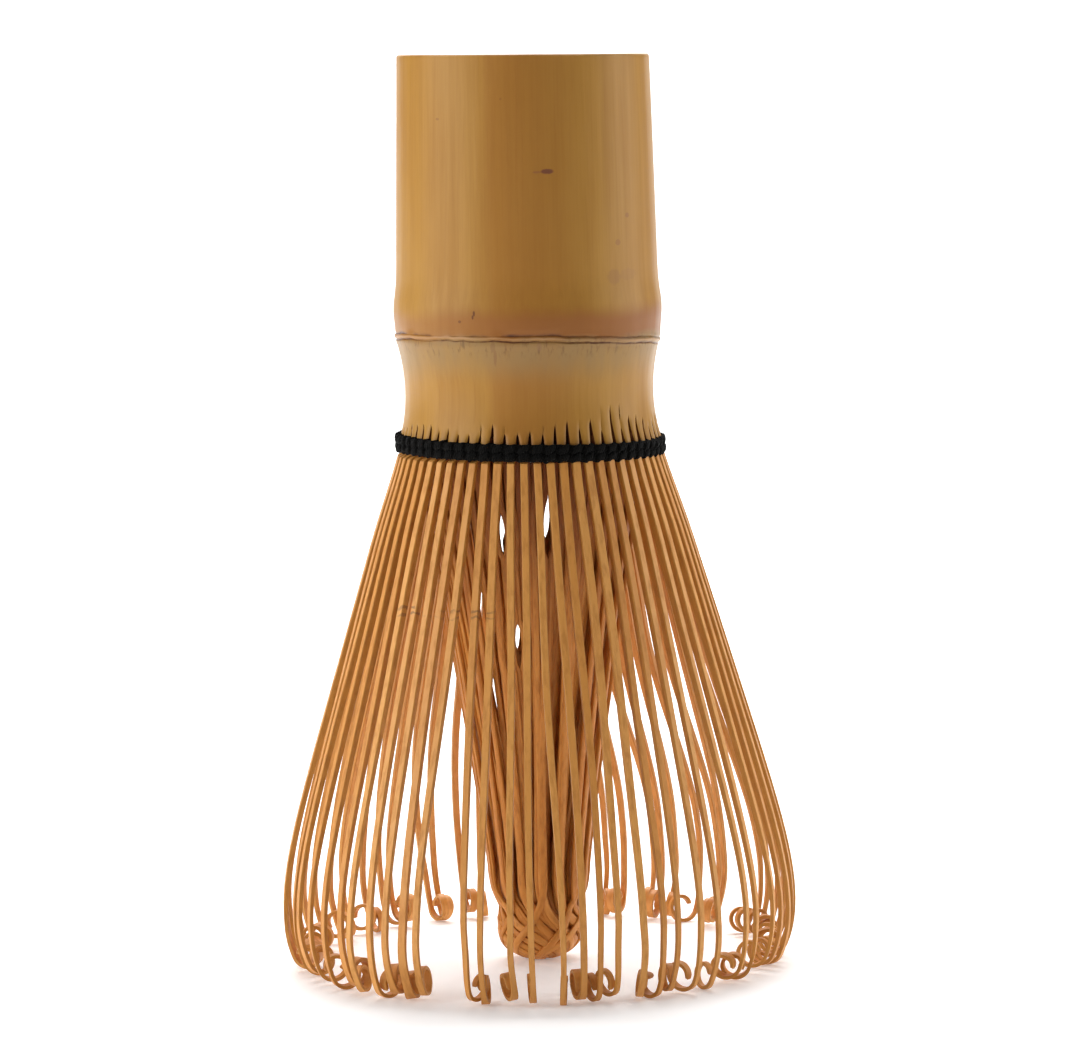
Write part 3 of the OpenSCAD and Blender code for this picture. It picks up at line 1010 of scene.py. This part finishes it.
def make_binding():
    """Two twined rows of two strands."""
    for name, side in (("upper", 1), ("lower", -1)):
        skin = Skin()
        z = BINDING_Z + side * ROW_GAP / 2 * ROW_CLOSE
        for phase in (0, 180):
            strand(skin, z, phase)
        backing(skin, z)
        skin.build("binding_" + name, "whisk", "thread_row_" + name, [THREAD], sharp=80)


def make_knot():
    """The tie-off at the back: a tight overhand knot with two short cut ends."""
    skin = Skin()
    centre = Vector((0, WEAVE_R + WEAVE_DEPTH + KNOT_OUT, BINDING_Z))
    path = []
    for k in range(61):
        q = math.tau * (k / 60 * 0.93 + 0.035)
        x = math.sin(q) + 2 * math.sin(2 * q)
        z = math.cos(q) - 2 * math.cos(2 * q)
        path.append(centre + KNOT_SIZE * Vector((x, -math.sin(3 * q) * 1.1, z)))
    tube(skin, path, KNOT_THREAD_R, 0.0)
    for side in (-1, 1):
        tail = []
        for k in range(9):
            u = k / 8
            x = side * (0.25 + 0.5 * u + 0.35 * u * u)
            tail.append(centre + Vector((x, -0.15 * u, -0.35 - 1.75 * u)))
        tube(skin, tail, TAIL_THREAD_R, 0.5)
    skin.build("knot", "whisk", "thread_knot", [THREAD], sharp=80)


make_grip()
make_joint()
make_collar()
make_outer_tines()
make_inner_tines()
make_binding()
make_knot()

# ---- Studio ------------------------------------------------------------------------

CAMERA_DISTANCE = 0.517
CAMERA_HEIGHT = 0.1028
CAMERA_SIDE = 0.0009
CAMERA_PITCH = 5.84
CAMERA_ROLL = -1.15
CAMERA_LENS = 153.0
FLOOR_FRONT, FLOOR_BACK, FLOOR_HALF_W = -0.5, 0.9, 0.75
BEND_R, BEND_STEPS, WALL_TOP = 0.5, 12, 2.0
WORLD_LIGHT, WORLD_SEEN = 0.05, 0.9
WHISK_MIDDLE = Vector((0, 0, 0.05))


def make_stage():
    """A pale floor that sweeps up behind the whisk."""
    profile = [(FLOOR_FRONT, 0.0), (FLOOR_BACK, 0.0)]
    for k in range(1, BEND_STEPS + 1):
        a = math.pi / 2 * k / BEND_STEPS
        profile.append((FLOOR_BACK + BEND_R * math.sin(a), BEND_R * (1 - math.cos(a))))
    profile.append((FLOOR_BACK + BEND_R, WALL_TOP))
    points, faces = [], []
    for y, z in profile:
        points += [(-FLOOR_HALF_W, y, z), (FLOOR_HALF_W, y, z)]
    for k in range(len(profile) - 1):
        faces.append((2 * k, 2 * k + 1, 2 * k + 3, 2 * k + 2))
    mesh = bpy.data.meshes.new("floor")
    mesh.from_pydata(points, [], faces)
    mesh.polygons.foreach_set("use_smooth", [True] * len(faces))
    mesh.materials.append(floor_look())
    floor = bpy.data.objects.new("floor", mesh)
    bpy.context.scene.collection.objects.link(floor)


def around(azimuth, elevation, distance, aim=WHISK_MIDDLE):
    """The place at that distance from aim. Azimuth is from the front, positive to the right."""
    a, e = math.radians(azimuth), math.radians(elevation)
    away = Vector((math.sin(a) * math.cos(e), -math.cos(a) * math.cos(e), math.sin(e)))
    return aim + away * distance


def make_light(name, place, size, power, spread, aim=WHISK_MIDDLE):
    """A soft rectangular light facing aim."""
    data = bpy.data.lights.new(name, "AREA")
    data.shape = "RECTANGLE"
    data.size, data.size_y = size
    data.energy = power
    data.spread = math.radians(spread)
    light = bpy.data.objects.new(name, data)
    light.location = place
    light.rotation_euler = (aim - light.location).to_track_quat("-Z", "Y").to_euler()
    bpy.context.scene.collection.objects.link(light)


def make_lights():
    make_light("left_softbox", around(-72, 14, 0.8), (0.8, 0.8), 2.95, 110)
    make_light("right_softbox", around(96, 16, 0.8), (0.6, 0.7), 1.55, 110)
    over = Vector((0, 0.2, 0))
    make_light("top_softbox", around(180, 62, 1.0, over), (0.9, 0.7), 4.05, 100, over)
    wall = Vector((0, 1.25, 0.35))
    make_light("backdrop_light", Vector((0, 0.45, 1.1)), (1.6, 0.4), 26.0, 180, wall)


def make_world():
    """A world that lights the whisk only faintly, but is pale where the camera sees it."""
    world = bpy.data.worlds.new("studio")
    world.use_nodes = True
    nodes, links = world.node_tree.nodes, world.node_tree.links
    background = nodes["Background"]
    background.inputs["Color"].default_value = (1.0, 0.99, 0.97, 1.0)
    seen = nodes.new("ShaderNodeLightPath")
    strength = nodes.new("ShaderNodeMath")
    strength.operation = "MULTIPLY_ADD"
    strength.inputs[1].default_value = WORLD_SEEN - WORLD_LIGHT
    strength.inputs[2].default_value = WORLD_LIGHT
    links.new(seen.outputs["Is Camera Ray"], strength.inputs[0])
    links.new(strength.outputs[0], background.inputs["Strength"])
    bpy.context.scene.world = world


def make_camera():
    data = bpy.data.cameras.new("camera")
    data.lens = CAMERA_LENS
    data.sensor_width = 36
    data.clip_start, data.clip_end = 0.01, 20
    camera = bpy.data.objects.new("camera", data)
    camera.location = (CAMERA_SIDE, -CAMERA_DISTANCE, CAMERA_HEIGHT)
    aim = Matrix.Rotation(math.radians(90 - CAMERA_PITCH), 3, "X")
    roll = Matrix.Rotation(math.radians(CAMERA_ROLL), 3, "Z")
    camera.rotation_euler = (aim @ roll).to_euler()
    bpy.context.scene.collection.objects.link(camera)
    bpy.context.scene.camera = camera


make_camera()
make_stage()
make_lights()
make_world()
bpy.context.scene.view_settings.view_transform = "Standard"
